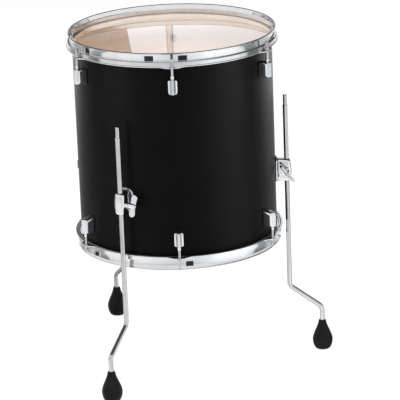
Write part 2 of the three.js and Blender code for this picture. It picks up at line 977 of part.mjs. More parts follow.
// The origin is the middle of the whole outline, on the floor
drum.updateMatrixWorld(true);
const outline = new THREE.Box3().setFromObject(drum, true);
const middle = outline.getCenter(new THREE.Vector3());
drum.position.set(-middle.x, -middle.y, -outline.min.z);
const group = new THREE.Group();
group.add(drum);

export default group;
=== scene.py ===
import math

import bmesh
import bpy
import numpy as np
from mathutils import Matrix, Vector


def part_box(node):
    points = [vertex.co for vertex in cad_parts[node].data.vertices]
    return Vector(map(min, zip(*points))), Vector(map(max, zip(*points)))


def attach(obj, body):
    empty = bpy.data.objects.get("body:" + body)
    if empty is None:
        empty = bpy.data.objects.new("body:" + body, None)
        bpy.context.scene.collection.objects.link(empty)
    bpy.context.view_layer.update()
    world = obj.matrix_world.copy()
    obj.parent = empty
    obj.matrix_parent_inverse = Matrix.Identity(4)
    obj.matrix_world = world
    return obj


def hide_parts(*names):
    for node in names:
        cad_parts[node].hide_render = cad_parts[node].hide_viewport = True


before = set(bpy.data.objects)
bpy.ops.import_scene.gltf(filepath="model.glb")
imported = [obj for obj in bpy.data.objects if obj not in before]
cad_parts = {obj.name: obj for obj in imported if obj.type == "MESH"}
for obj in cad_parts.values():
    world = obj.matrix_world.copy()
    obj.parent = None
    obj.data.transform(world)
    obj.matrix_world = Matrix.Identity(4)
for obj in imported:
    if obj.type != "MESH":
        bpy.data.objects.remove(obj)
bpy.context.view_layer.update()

# Shapes are drawn in millimetres about the drum's axis, with the floor at zero height.
# Azimuth 0 faces -Y and grows towards +X. Repeated pieces are drawn at azimuth 0 and turned.
SHELL_LOW, SHELL_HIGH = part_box("shell")
AXIS = Vector(((SHELL_LOW.x + SHELL_HIGH.x) / 2, (SHELL_LOW.y + SHELL_HIGH.y) / 2, 0))
MM = 0.001
TO_METRES = Matrix.Translation(AXIS) @ Matrix.Scale(MM, 4)
TINY = 1e-6

# Sizes, the same as the frame's but for the skin, the bracket's height and the vent's bore
SHELL_RADIUS = 202
SHELL_INNER = 195
SHELL_BOTTOM = 277
SHELL_TOP = 683
SKIN = 0.8
CREST = 199.6
EDGE_ROUND = 2.4
EDGE_BEVEL = 4.6
LUGS = 6
ROD_AXIS = 218
LEG_AXIS = 225
FOOT_AXIS = 291
CLAMP_HEIGHT = 394
BRACKET_HEIGHT = 392
LUG_MOUTH = -32
LUG_END = -60.6
LUG_END_FALL = 5.8
LUG_HALF = 9.4
LUG_FACE = 226.4
VENT_AZIMUTH = -90
VENT_HEIGHT = 422
VENT_BORE = 6.4
LEG_TOP = 554
LEG_AZIMUTHS = {"left": -30, "right": 90, "back": 210}
WING_LEAN = {"left": -22, "right": 142, "back": -22}

# Sides of the turned shapes, and the angles above which an edge is shown sharp
SHELL_SIDES = 240
HOOP_SIDES = 432
FOOT_SIDES = 64
ROUND_SIDES = 48
ROD_SIDES = 40
SCREW_SIDES = 32
CREASE = 38
SHELL_CREASE = 30


# Mesh helpers: each shape is a list of corners and a list of faces
def filleted(points, radius, steps=4, closed=False):
    """The same line with its corners rounded, in two or three dimensions."""
    nearly_straight, edge_share = math.radians(87), 0.46
    smooth = []
    count = len(points)
    for i, here in enumerate(points):
        if not closed and i in (0, count - 1):
            smooth.append(tuple(here))
            continue
        back = np.subtract(points[i - 1], here)
        ahead = np.subtract(points[(i + 1) % count], here)
        back_length, ahead_length = np.linalg.norm(back), np.linalg.norm(ahead)
        back, ahead = back / back_length, ahead / ahead_length
        half = math.acos(np.clip(back @ ahead, -1, 1)) / 2
        if half > nearly_straight:
            smooth.append(tuple(here))
            continue
        reach = min(radius / math.tan(half), edge_share * back_length, edge_share * ahead_length)
        bisector = (back + ahead) / np.linalg.norm(back + ahead)
        centre = here + bisector * reach / math.cos(half)
        start, end = here + back * reach - centre, here + ahead * reach - centre
        sweep = math.pi - 2 * half
        for step in range(steps + 1):
            share = step / steps
            spoke = math.sin((1 - share) * sweep) * start + math.sin(share * sweep) * end
            smooth.append(tuple(centre + spoke / math.sin(sweep)))
    return smooth


def lathe(profile, sides, closed=False):
    """A profile of (radius, height) turned round Z, closed or with both ends on the axis."""
    corners, faces, rows = [], [], []
    for radius, height in profile:
        if radius < TINY:
            rows.append([len(corners)])
            corners.append((0, 0, height))
            continue
        rows.append(range(len(corners), len(corners) + sides))
        for k in range(sides):
            angle = 2 * math.pi * k / sides
            corners.append((radius * math.sin(angle), -radius * math.cos(angle), height))
    for i in range(len(rows) if closed else len(rows) - 1):
        low, high = rows[i], rows[(i + 1) % len(rows)]
        for k in range(sides):
            following = (k + 1) % sides
            if len(low) == 1:
                faces.append((low[0], high[following], high[k]))
            elif len(high) == 1:
                faces.append((low[k], low[following], high[0]))
            else:
                faces.append((low[k], low[following], high[following], high[k]))
    return corners, faces


def rings_body(rings):
    """Rings of equally many corners joined into a tube with a face at each end."""
    count = len(rings[0])
    corners = [corner for ring in rings for corner in ring]
    faces = [tuple(reversed(range(count)))]
    for i in range(len(rings) - 1):
        for k in range(count):
            following = (k + 1) % count
            low, high = i * count, (i + 1) * count
            faces.append((low + k, low + following, high + following, high + k))
    last = (len(rings) - 1) * count
    faces.append(tuple(range(last, last + count)))
    return corners, faces


def inset(outline, distance):
    """A closed outline moved inwards, corner by corner."""
    sharpest = 0.3
    points = np.array(outline, float)
    along = np.roll(points, -1, 0) - points
    along /= np.linalg.norm(along, axis=1, keepdims=True)
    normal = np.stack([-along[:, 1], along[:, 0]], 1)
    mean = normal + np.roll(normal, 1, 0)
    mean /= np.maximum((mean * mean).sum(1, keepdims=True) / 2, sharpest)
    return points + distance * mean


def pillow(outline, half, rounding, steps=4):
    """An outline spread to both sides of the plane z = 0, with rounded edges."""
    rings = []
    for side in (-1, 1):
        order = range(steps + 1) if side < 0 else range(steps, -1, -1)
        for step in order:
            angle = math.pi / 2 * step / steps
            ring = inset(outline, rounding * (1 - math.sin(angle)))
            height = side * (half - rounding * (1 - math.cos(angle)))
            rings.append([(x, y, height) for x, y in ring])
    return rings_body(rings)


def rounded_outline(half, low, high, corner, steps=8):
    """A rectangle with rounded corners, anticlockwise."""
    points = []
    middles = (
        (half - corner, high - corner, 0),
        (corner - half, high - corner, 1),
        (corner - half, low + corner, 2),
        (half - corner, low + corner, 3),
    )
    for across, up, quarter in middles:
        for step in range(steps + 1):
            angle = math.pi / 2 * (quarter + step / steps)
            points.append((across + corner * math.cos(angle), up + corner * math.sin(angle)))
    return points


def swept(path, radii, sides):
    """A round bar along a path in the plane x = 0, given as (outward distance, height)."""
    points = np.array(path, float)
    along = np.gradient(points, axis=0)
    along[0], along[-1] = points[1] - points[0], points[-1] - points[-2]
    along /= np.linalg.norm(along, axis=1, keepdims=True)
    rings = []
    for (distance, height), (ahead, up), radius in zip(points, along, radii):
        ring = []
        for k in range(sides):
            angle = 2 * math.pi * k / sides
            across, off = radius * math.cos(angle), radius * math.sin(angle)
            ring.append((across, -(distance - up * off), height + ahead * off))
        rings.append(ring)
    return rings_body(rings)


def soft_max(values, blend):
    """The greatest of several fields, rounded off where two of them meet."""
    total = values[0]
    for value in values[1:]:
        near = np.maximum(blend - np.abs(total - value), 0) / blend
        total = np.maximum(total, value) + near * near * blend / 4
    return total


def cast_body(field, centre, half, steps):
    """The surface where a field is zero, found along rays from a centre through a grid on a box."""
    farthest, halvings = 2.5, 36
    keys, points, faces = {}, [], []

    def corner(direction):
        key = tuple(np.round(direction, 6))
        if key not in keys:
            keys[key] = len(points)
            points.append(direction)
        return keys[key]

    ticks = np.linspace(-1, 1, steps + 1)
    for axis in range(3):
        for side in (-1.0, 1.0):
            for i in range(steps):
                for j in range(steps):
                    quad = []
                    for a, b in ((i, j), (i + 1, j), (i + 1, j + 1), (i, j + 1)):
                        direction = np.zeros(3)
                        direction[axis] = side
                        direction[(axis + 1) % 3] = ticks[a]
                        direction[(axis + 2) % 3] = ticks[b]
                        quad.append(corner(direction))
                    faces.append(tuple(quad))
    rays = np.array(points) * np.array(half)
    near, far = np.zeros(len(rays)), np.full(len(rays), farthest)
    for _ in range(halvings):
        middle = (near + far) / 2
        inside = field(np.array(centre) + rays * middle[:, None]) < 0
        near, far = np.where(inside, middle, near), np.where(inside, far, middle)
    return [tuple(p) for p in np.array(centre) + rays * near[:, None]], faces


def merged(*shapes):
    corners, faces = [], []
    for more_corners, more_faces in shapes:
        start = len(corners)
        corners += list(more_corners)
        faces += [tuple(start + c for c in face) for face in more_faces]
    return corners, faces


def moved(shape, matrix):
    corners, faces = shape
    return [tuple(matrix @ Vector(corner)) for corner in corners], faces


def turn(azimuth):
    return Matrix.Rotation(math.radians(azimuth), 4, "Z")


OUTWARDS = Matrix.Rotation(math.pi / 2, 4, "X")     # local Z points away from the drum's axis
SIDEWAYS = Matrix.Rotation(math.pi / 2, 4, "Y")     # local Z points along X


# Materials
CLOUD_LOW, CLOUD_HIGH = 0.3, 0.7     # the middle part of a noise, over which colours and polish change


class Shader:
    """A node material whose Principled shader is fed by procedural textures."""

    def __init__(self, name):
        self.material = bpy.data.materials.new(name)
        self.material.use_nodes = True
        self.nodes = self.material.node_tree.nodes
        self.links = self.material.node_tree.links
        self.principled = self.nodes["Principled BSDF"]
        self.coordinates = self.nodes.new("ShaderNodeTexCoord")

    def set(self, **values):
        for name, value in values.items():
            socket = name.replace("_", " ").title().replace("Ior", "IOR")
            self.principled.inputs[socket].default_value = value

    def feed(self, name, output):
        self.links.new(output, self.principled.inputs[name])

    def stretched(self, scale):
        mapping = self.nodes.new("ShaderNodeMapping")
        mapping.inputs["Scale"].default_value = scale
        self.links.new(self.coordinates.outputs["Object"], mapping.inputs["Vector"])
        return mapping.outputs["Vector"]

    def noise(self, scale, detail=3.0, roughness=0.5, distortion=0.0, stretch=(1, 1, 1)):
        node = self.nodes.new("ShaderNodeTexNoise")
        node.inputs["Scale"].default_value = scale
        node.inputs["Detail"].default_value = detail
        node.inputs["Roughness"].default_value = roughness
        node.inputs["Distortion"].default_value = distortion
        self.links.new(self.stretched(stretch), node.inputs["Vector"])
        return node.outputs["Fac"]

    def ramp(self, factor, *stops):
        node = self.nodes.new("ShaderNodeValToRGB")
        elements = node.color_ramp.elements
        while len(elements) < len(stops):
            elements.new(0.5)
        for element, (position, colour) in zip(elements, stops):
            element.position = position
            element.color = (*colour, 1)
        self.links.new(factor, node.inputs["Fac"])
        return node.outputs["Color"]

    def clouded(self, factor, low, high):
        return self.ramp(factor, (CLOUD_LOW, low), (CLOUD_HIGH, high))

    def ranged(self, factor, low, high, start=CLOUD_LOW, end=CLOUD_HIGH):
        node = self.nodes.new("ShaderNodeMapRange")
        for name, value in (("From Min", start), ("From Max", end), ("To Min", low), ("To Max", high)):
            node.inputs[name].default_value = value
        self.links.new(factor, node.inputs["Value"])
        return node.outputs["Result"]

    def mixed(self, factor, first, second, mode="MIX"):
        node = self.nodes.new("ShaderNodeMix")
        node.data_type = "RGBA"
        node.blend_type = mode
        sockets = [s for s in node.inputs if s.type == "RGBA"]
        for socket, value in zip(sockets, (first, second)):
            self.links.new(value, socket)
        if isinstance(factor, float):
            node.inputs["Factor"].default_value = factor
        else:
            self.links.new(factor, node.inputs["Factor"])
        return [s for s in node.outputs if s.type == "RGBA"][0]

    def math(self, operation, *values):
        node = self.nodes.new("ShaderNodeMath")
        node.operation = operation
        for socket, value in zip(node.inputs, values):
            if isinstance(value, float):
                socket.default_value = value
            else:
                self.links.new(value, socket)
        return node.outputs[0]

    def bump(self, height, strength, distance):
        node = self.nodes.new("ShaderNodeBump")
        node.inputs["Strength"].default_value = strength
        node.inputs["Distance"].default_value = distance
        self.links.new(height, node.inputs["Height"])
        self.feed("Normal", node.outputs["Normal"])


def metal(name, low, high, smooth, rough, grain=(1, 1, 1), bump=0.03):
    """Plated metal: a slight cloudiness in colour and polish, and a faint ripple."""
    shader = Shader(name)
    shader.set(metallic=1.0)
    cloud = shader.noise(22, 4, 0.55)
    fine = shader.noise(260, 2, 0.5, stretch=grain)
    shader.feed("Base Color", shader.clouded(cloud, low, high))
    shader.feed("Roughness", shader.ranged(shader.noise(55, 4, 0.6, stretch=grain), smooth, rough))
    shader.bump(fine, bump, 0.0002)
    return shader.material


def lacquer_material():
    """Satin black, set darker and duller than a real one to match the photograph."""
    shader = Shader("satin_black_lacquer")
    cloud = shader.noise(9, 4, 0.6)
    shader.feed("Base Color", shader.clouded(cloud, (0.0008, 0.0008, 0.0010), (0.0016, 0.0015, 0.0018)))
    shader.feed("Roughness", shader.ranged(shader.noise(140, 3, 0.6), 0.36, 0.46))
    shader.set(specular_ior_level=0.06)
    shader.bump(shader.noise(1500, 2, 0.5), 0.06, 0.0001)
    return shader.material


def radius_output(shader):
    """Distance from the drum's axis, in metres."""
    split = shader.nodes.new("ShaderNodeSeparateXYZ")
    shift = shader.nodes.new("ShaderNodeMapping")
    shift.inputs["Location"].default_value = (-AXIS.x, -AXIS.y, 0)
    shader.links.new(shader.coordinates.outputs["Object"], shift.inputs["Vector"])
    shader.links.new(shift.outputs["Vector"], split.inputs[0])
    flat = shader.nodes.new("ShaderNodeCombineXYZ")
    shader.links.new(split.outputs["X"], flat.inputs["X"])
    shader.links.new(split.outputs["Y"], flat.inputs["Y"])
    length = shader.nodes.new("ShaderNodeVectorMath")
    length.operation = "LENGTH"
    shader.links.new(flat.outputs[0], length.inputs[0])
    return length.outputs["Value"]


def wood_material():
    """Inner veneer: grain that runs round the shell, with pores and slow bands of colour."""
    shader = Shader("clear_coated_veneer")
    grain = shader.noise(9, 6, 0.62, 0.6, (1, 1, 34))
    band = shader.noise(4, 3, 0.5, 0.3, (1, 1, 9))
    pores = shader.noise(60, 4, 0.7, 0.2, (1, 1, 16))
    base = shader.ramp(
        grain, (0.32, (0.56, 0.43, 0.335)), (0.52, (0.61, 0.48, 0.38)), (0.72, (0.66, 0.53, 0.43)),
    )
    tone = shader.clouded(band, (0.93, 0.92, 0.91), (1, 1, 1))
    speck = shader.ramp(pores, (0.34, (0.84, 0.80, 0.76)), (0.46, (1, 1, 1)))
    colour = shader.mixed(1.0, shader.mixed(1.0, base, tone, "MULTIPLY"), speck, "MULTIPLY")
    shader.feed("Base Color", colour)
    shader.feed("Roughness", shader.ranged(grain, 0.38, 0.52))
    shader.bump(pores, 0.12, 0.0002)
    return shader.material


def ply_material():
    """The cut bearing edge: the plies show as light and dark rings."""
    ply, stripe_start, stripe_end = 0.00115, 0.0003, 0.0008
    along = (1, 1, 3)
    shader = Shader("cut_plies")
    bands = shader.nodes.new("ShaderNodeMath")
    bands.operation = "PINGPONG"
    bands.inputs[1].default_value = ply
    shader.links.new(radius_output(shader), bands.inputs[0])
    stripes = shader.ranged(bands.outputs[0], 0.0, 1.0, stripe_start, stripe_end)
    coarse = shader.noise(40, 5, 0.6, stretch=along)
    pale = shader.clouded(coarse, (0.50, 0.36, 0.24), (0.60, 0.45, 0.31))
    fine = shader.noise(70, 5, 0.6, stretch=along)
    dark = shader.clouded(fine, (0.30, 0.19, 0.12), (0.40, 0.27, 0.18))
    shader.feed("Base Color", shader.mixed(stripes, pale, dark))
    shader.feed("Roughness", shader.ranged(shader.noise(90), 0.45, 0.6))
    return shader.material


def rubber_material(name, low, high, smooth, rough):
    shader = Shader(name)
    cloud = shader.noise(38, 5, 0.6)
    shader.feed("Base Color", shader.clouded(cloud, low, high))
    shader.feed("Roughness", shader.ranged(shader.noise(120, 4, 0.6), smooth, rough))
    shader.set(specular_ior_level=0.10)
    shader.bump(shader.noise(900, 3, 0.6), 0.25, 0.0002)
    return shader.material


def film_material():
    """Clear film: see-through, with a mirror share that grows towards grazing views.

    The front mirrors with the share of both faces, and the back not at all.
    """
    film_ior = 1.64
    shader = Shader("clear_head_film")
    haze = shader.noise(5, 3, 0.5)
    shader.feed("Base Color", shader.clouded(haze, (0.88, 0.88, 0.88), (0.93, 0.93, 0.93)))
    shader.feed("Roughness", shader.ranged(shader.noise(30, 3), 0.02, 0.05))
    shader.set(metallic=1.0)
    clear = shader.nodes.new("ShaderNodeBsdfTransparent")
    clear.inputs["Color"].default_value = (0.985, 0.98, 0.975, 1)
    fresnel = shader.nodes.new("ShaderNodeFresnel")
    fresnel.inputs["IOR"].default_value = film_ior
    one_face = fresnel.outputs[0]
    twice = shader.math("MULTIPLY", one_face, 2.0)
    both_faces = shader.math("DIVIDE", twice, shader.math("ADD", one_face, 1.0))
    side = shader.nodes.new("ShaderNodeNewGeometry")
    front = shader.math("SUBTRACT", 1.0, side.outputs["Backfacing"])
    mix = shader.nodes.new("ShaderNodeMixShader")
    output = shader.nodes["Material Output"]
    shader.links.new(shader.math("MULTIPLY", both_faces, front), mix.inputs[0])
    shader.links.new(clear.outputs[0], mix.inputs[1])
    shader.links.new(shader.principled.outputs[0], mix.inputs[2])
    shader.links.new(mix.outputs[0], output.inputs["Surface"])
    return shader.material


LACQUER = lacquer_material()
WOOD = wood_material()
PLIES = ply_material()
FILM = film_material()
HOOP_CHROME = metal("hoop_chrome", (0.66, 0.675, 0.69), (0.74, 0.75, 0.76), 0.035, 0.08)
# Painted bright reflection: the hoop's chrome set lighter, for the inner side of the neck
INNER_BRIGHT_REFLECTION = metal("inner_chrome_painted_bright_reflection", (0.72, 0.73, 0.74), (0.78, 0.79, 0.80), 0.03, 0.06)
# Painted dark reflections on the hoops' bead and pockets and on the brackets' flange dish
# Dark by their own colour, in place of something dark that the chrome mirrors in the photograph
LIP_DARK_REFLECTION = metal("lip_painted_dark_reflection", (0.05, 0.05, 0.052), (0.12, 0.12, 0.124), 0.12, 0.22)
POCKET_DARK_REFLECTION = metal("shadowed_steel", (0.015, 0.015, 0.016), (0.05, 0.05, 0.052), 0.2, 0.35)
FLANGE_DARK_REFLECTION = metal("shadowed_plate", (0.03, 0.03, 0.032), (0.09, 0.09, 0.095), 0.32, 0.42)
# Castings, rods, screws and rubber
LUG_CHROME = metal("lug_chrome", (0.66, 0.675, 0.69), (0.75, 0.76, 0.77), 0.04, 0.09)
CLAMP_CHROME = metal("clamp_chrome", (0.66, 0.67, 0.685), (0.74, 0.75, 0.76), 0.05, 0.11)
ROD_STEEL = metal("drawn_rod_steel", (0.50, 0.50, 0.505), (0.60, 0.60, 0.605), 0.08, 0.15, (6, 6, 0.4))
SCREW_STEEL = metal("screw_steel", (0.60, 0.60, 0.61), (0.74, 0.74, 0.745), 0.14, 0.26)
NUT_PLATE = metal("nut_plating", (0.72, 0.715, 0.70), (0.82, 0.815, 0.80), 0.10, 0.2)
RING_ALLOY = metal("flesh_hoop_alloy", (0.62, 0.63, 0.64), (0.74, 0.745, 0.75), 0.16, 0.28)
RUBBER = rubber_material("foot_rubber", (0.003, 0.003, 0.0034), (0.007, 0.007, 0.0075), 0.38, 0.52)
PAD_RUBBER = rubber_material("pad_rubber", (0.007, 0.007, 0.008), (0.013, 0.013, 0.014), 0.6, 0.75)


# Pieces
def mesh_of(name, shape, matrix):
    """A mesh, in metres in the frame, of a shape drawn in millimetres."""
    corners, faces = moved(shape, TO_METRES @ matrix)
    mesh = bpy.data.meshes.new(name)
    mesh.from_pydata(corners, [], faces)
    work = bmesh.new()
    work.from_mesh(mesh)
    bmesh.ops.recalc_face_normals(work, faces=work.faces)
    work.to_mesh(mesh)
    work.free()
    return mesh


def emit(name, shape, matrix, material, body, slot, *nodes, crease=CREASE):
    """Makes one piece of a shape, riding on a body and taking the place of nodes."""
    mesh = mesh_of(name, shape, matrix)
    mesh.materials.append(material)
    mesh.polygons.foreach_set("use_smooth", [True] * len(mesh.polygons))
    mesh.set_sharp_from_angle(angle=math.radians(crease))
    piece = bpy.data.objects.new(name, mesh)
    bpy.context.scene.collection.objects.link(piece)
    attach(piece, body)
    if nodes:
        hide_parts(*nodes)
    return piece


def bored(piece, radius, azimuth, height):
    """Drills a round hole through the shell wall."""
    length, start = 30, SHELL_INNER - 12
    bore = lathe([(0, 0), (radius, 0), (radius, length), (0, length)], ROUND_SIDES)
    place = turn(azimuth) @ Matrix.Translation((0, -start, height)) @ OUTWARDS
    cutter = bpy.data.objects.new("bore", mesh_of("bore", bore, place))
    bpy.context.scene.collection.objects.link(cutter)
    cut = piece.modifiers.new("bore", "BOOLEAN")
    cut.operation = "DIFFERENCE"
    cut.solver = "EXACT"
    cut.object = cutter
    bpy.context.view_layer.update()
    result = bpy.data.meshes.new_from_object(piece.evaluated_get(bpy.context.evaluated_depsgraph_get()))
    piece.modifiers.clear()
    piece.data = result
    bpy.data.objects.remove(cutter)
    result.set_sharp_from_angle(angle=math.radians(SHELL_CREASE))


UPRIGHT = Matrix.Identity(4)

# Shell: black skin outside, bare veneer inside, plies showing at the bearing edges
skin_inner = SHELL_RADIUS - SKIN
skin_drop = EDGE_ROUND * (skin_inner - CREST) / (SHELL_RADIUS - CREST)
belt = 11
inner_round, outer_round = (0.5, 0.4), (0.4, 0.3)     # beside the crest: how far off, how far down
skin = lathe(
    [
        (skin_inner, SHELL_BOTTOM + skin_drop),
        (SHELL_RADIUS, SHELL_BOTTOM + EDGE_ROUND),
        (SHELL_RADIUS, VENT_HEIGHT - belt),
        (SHELL_RADIUS, VENT_HEIGHT + belt),
        (SHELL_RADIUS, SHELL_TOP - EDGE_ROUND),
        (skin_inner, SHELL_TOP - skin_drop),
        (skin_inner, VENT_HEIGHT + belt),
        (skin_inner, VENT_HEIGHT - belt),
    ],
    SHELL_SIDES,
    True,
)
wood = lathe(
    [
        (SHELL_INNER, SHELL_BOTTOM + EDGE_BEVEL),
        (CREST - inner_round[0], SHELL_BOTTOM + inner_round[1]),
        (CREST + outer_round[0], SHELL_BOTTOM + outer_round[1]),
        (skin_inner, SHELL_BOTTOM + skin_drop),
        (skin_inner, VENT_HEIGHT - belt),
        (skin_inner, VENT_HEIGHT + belt),
        (skin_inner, SHELL_TOP - skin_drop),
        (CREST + outer_round[0], SHELL_TOP - outer_round[1]),
        (CREST - inner_round[0], SHELL_TOP - inner_round[1]),
        (SHELL_INNER, SHELL_TOP - EDGE_BEVEL),
        (SHELL_INNER, VENT_HEIGHT + belt),
        (SHELL_INNER, VENT_HEIGHT - belt),
    ],
    SHELL_SIDES,
    True,
)
shell_skin = emit(
    "shell_skin", skin, UPRIGHT, LACQUER, "drum", "shell_lacquer", "shell", crease=SHELL_CREASE,
)
shell_plies = emit(
    "shell_plies", wood, UPRIGHT, WOOD, "drum", "shell_inside", "shell", crease=SHELL_CREASE,
)
bored(shell_skin, VENT_BORE, VENT_AZIMUTH, VENT_HEIGHT)
bored(shell_plies, VENT_BORE, VENT_AZIMUTH, VENT_HEIGHT)
shell_plies.data.materials.append(PLIES)
for face in shell_plies.data.polygons:
    height = face.center.z / MM
    if not SHELL_BOTTOM + EDGE_BEVEL < height < SHELL_TOP - EDGE_BEVEL:
        face.material_index = 1


# Heads: profiles of (radius, height), with heights counted from the bearing edge
FILM_PROFILE = [
    (0, 0.7), (204.3, 0.7), (204.7, 0.2), (204.7, -7.6), (204.3, -7.6), (204.3, 0.1), (204, 0.3), (0, 0.3),
]
FLESH_PROFILE = [(204.8, -8.4), (209.2, -8.4), (209.2, -0.1), (204.8, -0.1)]


def film_shape():
    return lathe(filleted(FILM_PROFILE, 0.2, 3), SHELL_SIDES)


def flesh_shape():
    return lathe(filleted(FLESH_PROFILE, 0.9, 4, True), SHELL_SIDES, True)


# Hoops: a pressed section whose flange swells into an ear at each rod
HOOP_PROFILE = [
    (210.0, -8.6), (213.8, -8.6), (213.8, -6.4), (212.2, -6.4), (212.2, 1.3), (210.6, 2.4), (206.9, 2.4),
    (206.8, 5.5), (207.2, 9.5), (208.0, 13.5), (209.1, 16.6), (210.1, 18.0), (209.9, 19.3), (208.7, 19.6),
    (207.6, 18.6), (207.2, 16.8), (206.0, 10.4), (205.3, 9.2), (205.2, 3), (205.1, 0.2), (210.0, 0.2),
]
EAR_FLAT, EAR_END = 8, 27           # along the flange from the rod: full swell up to here, none from here
EAR_REACH = 9.4
FLANGE_START, FLANGE_BLEND = 212.4, 1.2
NECK_RADII, NECK_HEIGHTS = (206.2, 208.2), (4, 14)
POCKET_SINK = 1.1
POCKET_RADIUS, POCKET_DROPS = 207.4, (4, 13.6)
BEAD_DROP = 18.3
INNER_DROPS, INNER_FACING = (0.4, 18), -0.9
# Slots for painted reflections: dark in the pockets and on the bead, brighter inside the neck
POCKET_SLOT, BEAD_SLOT, INNER_SLOT = 1, 2, 3


def ear_share(arc):
    share = np.clip((abs(arc) - EAR_FLAT) / (EAR_END - EAR_FLAT), 0, 1)
    return 1 - share * share * (3 - 2 * share)


def between(value, limits):
    return limits[0] < value < limits[1]


def hoop_shape(pockets):
    """Ears swell out of the flange, and shallow pockets beside them sink into the neck."""
    corners, faces = lathe(filleted(HOOP_PROFILE, 0.75, 3, True), HOOP_SIDES, True)
    sector = 360 / LUGS
    swelled = []
    for x, y, z in corners:
        radius, azimuth = math.hypot(x, y), math.degrees(math.atan2(x, -y))
        arc = ROD_AXIS * math.radians(azimuth - round(azimuth / sector) * sector)
        lip = np.clip((radius - FLANGE_START) / FLANGE_BLEND, 0, 1)
        on_neck = between(radius, NECK_RADII) and between(z, NECK_HEIGHTS)
        sunk = on_neck and any(between(azimuth, pocket) for pocket in pockets)
        reach = (radius + EAR_REACH * ear_share(arc) * lip - (POCKET_SINK if sunk else 0)) / radius
        swelled.append((x * reach, y * reach, z))
    return swelled, faces


def paint_neck_reflections(hoop, pockets, height, up):
    """Painted reflections: brighter chrome inside the neck, dark metal on the bead and in the pockets."""
    hoop.data.materials.append(POCKET_DARK_REFLECTION)
    hoop.data.materials.append(LIP_DARK_REFLECTION)
    hoop.data.materials.append(INNER_BRIGHT_REFLECTION)
    for face in hoop.data.polygons:
        x, y, z = (face.center - AXIS) / MM
        azimuth, drop = math.degrees(math.atan2(x, -y)) * up, (z - height) * up
        outwards = (face.normal.x * x + face.normal.y * y) / math.hypot(x, y)
        if drop > BEAD_DROP:
            face.material_index = BEAD_SLOT
        elif outwards < INNER_FACING and between(drop, INNER_DROPS):
            face.material_index = INNER_SLOT
        elif outwards > 0 and math.hypot(x, y) < POCKET_RADIUS and between(drop, POCKET_DROPS):
            if any(between(azimuth, pocket) for pocket in pockets):
                face.material_index = POCKET_SLOT


# Lugs
def lug_field(p):
    """A casting with a raised ridge down its front, a lip round its closed end and a chamfered mouth."""
    corner, seat_gap, blend = 6.8, 0.3, 1.2
    crown_fall, crown_share = 3, 0.96
    ridge_half, ridge_slope, ridge_height = 1.7, 4.2, 4.8
    lip_run, lip_height, lip_inset, lip_width = 2, 0.9, 2.7, 0.7
    chamfer, chamfer_start, chamfer_low, chamfer_run = 0.5, 5.5, 213, 6
    across, out, up = np.abs(p[:, 0]), -p[:, 1], p[:, 2]
    slope = LUG_END_FALL / (LUG_FACE - SHELL_RADIUS)
    low = LUG_END - (LUG_FACE - out) * slope + corner
    beside, below = np.maximum(across - (LUG_HALF - corner), 0), np.maximum(low - up, 0)
    arch = np.hypot(beside, below) - corner
    crown = crown_fall * (1 - np.sqrt(np.clip(1 - (across / LUG_HALF) ** 2 * crown_share, 0, 1)))
    ridge = ridge_height * np.clip((across - ridge_half) / ridge_slope, 0, 1)
    bulge = np.exp(-(((arch + lip_inset) / lip_width) ** 2))
    lip = np.clip((low + 1 - up) / lip_run, 0, 1) * lip_height * bulge
    face = out - (LUG_FACE - crown - ridge - lip)
    outer = np.clip((out - chamfer_low) / chamfer_run, 0, 1)
    mouth = up - LUG_MOUTH + chamfer * np.maximum(across - chamfer_start, 0) * outer
    back = (SHELL_RADIUS + seat_gap) - np.hypot(across, out)
    return soft_max([arch, mouth, face, back], blend)


def lug_shape():
    centre = (0, -215, (LUG_MOUTH + LUG_END) / 2 - 1.5)
    return cast_body(lug_field, centre, (9.6, 12, 15.6), 46)


def head_inside(head, washer, sunk, height):
    """A screw's head on its washer, against the inside of the shell."""
    place = Matrix.Translation((0, -(SHELL_INNER - sunk), height)) @ OUTWARDS
    return moved(merged(lathe(head, SCREW_SIDES), lathe(washer, SCREW_SIDES, True)), place)


def screw_shape(height):
    """The head of the screw that holds the lug."""
    head = filleted([(0, 8.2), (5.2, 8.2), (5.2, 6.4), (3.4, 5.0), (0, 5.0)], 0.9, 3)
    washer = filleted([(2.4, 8.2), (6.6, 8.2), (6.6, 9.3), (2.4, 9.3)], 0.3, 2, True)
    return head_inside(head, washer, 9.7, height)


NUT_PROFILE = [
    (0, -50), (4.5, -50), (4.5, -32.6), (3.3, -31.8), (3.2, -30.6),
    (3.75, -28.6), (3.75, -26), (3.2, -24), (2.9, -23.6), (0, -23.4),
]
STEM_PROFILE = [
    (0, -44), (2.75, -44), (2.75, -6), (5.8, -6.1), (5.8, -4.8), (4.9, -4.8), (4.9, -2.4), (0, -2.4),
]
KEY_HALF, KEY_CORNER = 3.175, 0.5
KEY_RINGS = ((-3, 0), (9.2, 0), (9.8, 0.25), (10.1, 0.9))     # the square head: height, taper
ON_ROD = Matrix.Translation((0, -ROD_AXIS, 0))


def nut_shape():
    return moved(lathe(filleted(NUT_PROFILE, 0.6, 4), ROD_SIDES), ON_ROD)


def rod_shape():
    stem = filleted(STEM_PROFILE, 0.35, 3)
    square = rounded_outline(KEY_HALF, -KEY_HALF, KEY_HALF, KEY_CORNER, 3)
    key = rings_body([[(x, y, height) for x, y in inset(square, taper)] for height, taper in KEY_RINGS])
    return moved(merged(lathe(stem, ROD_SIDES), key), ON_ROD)


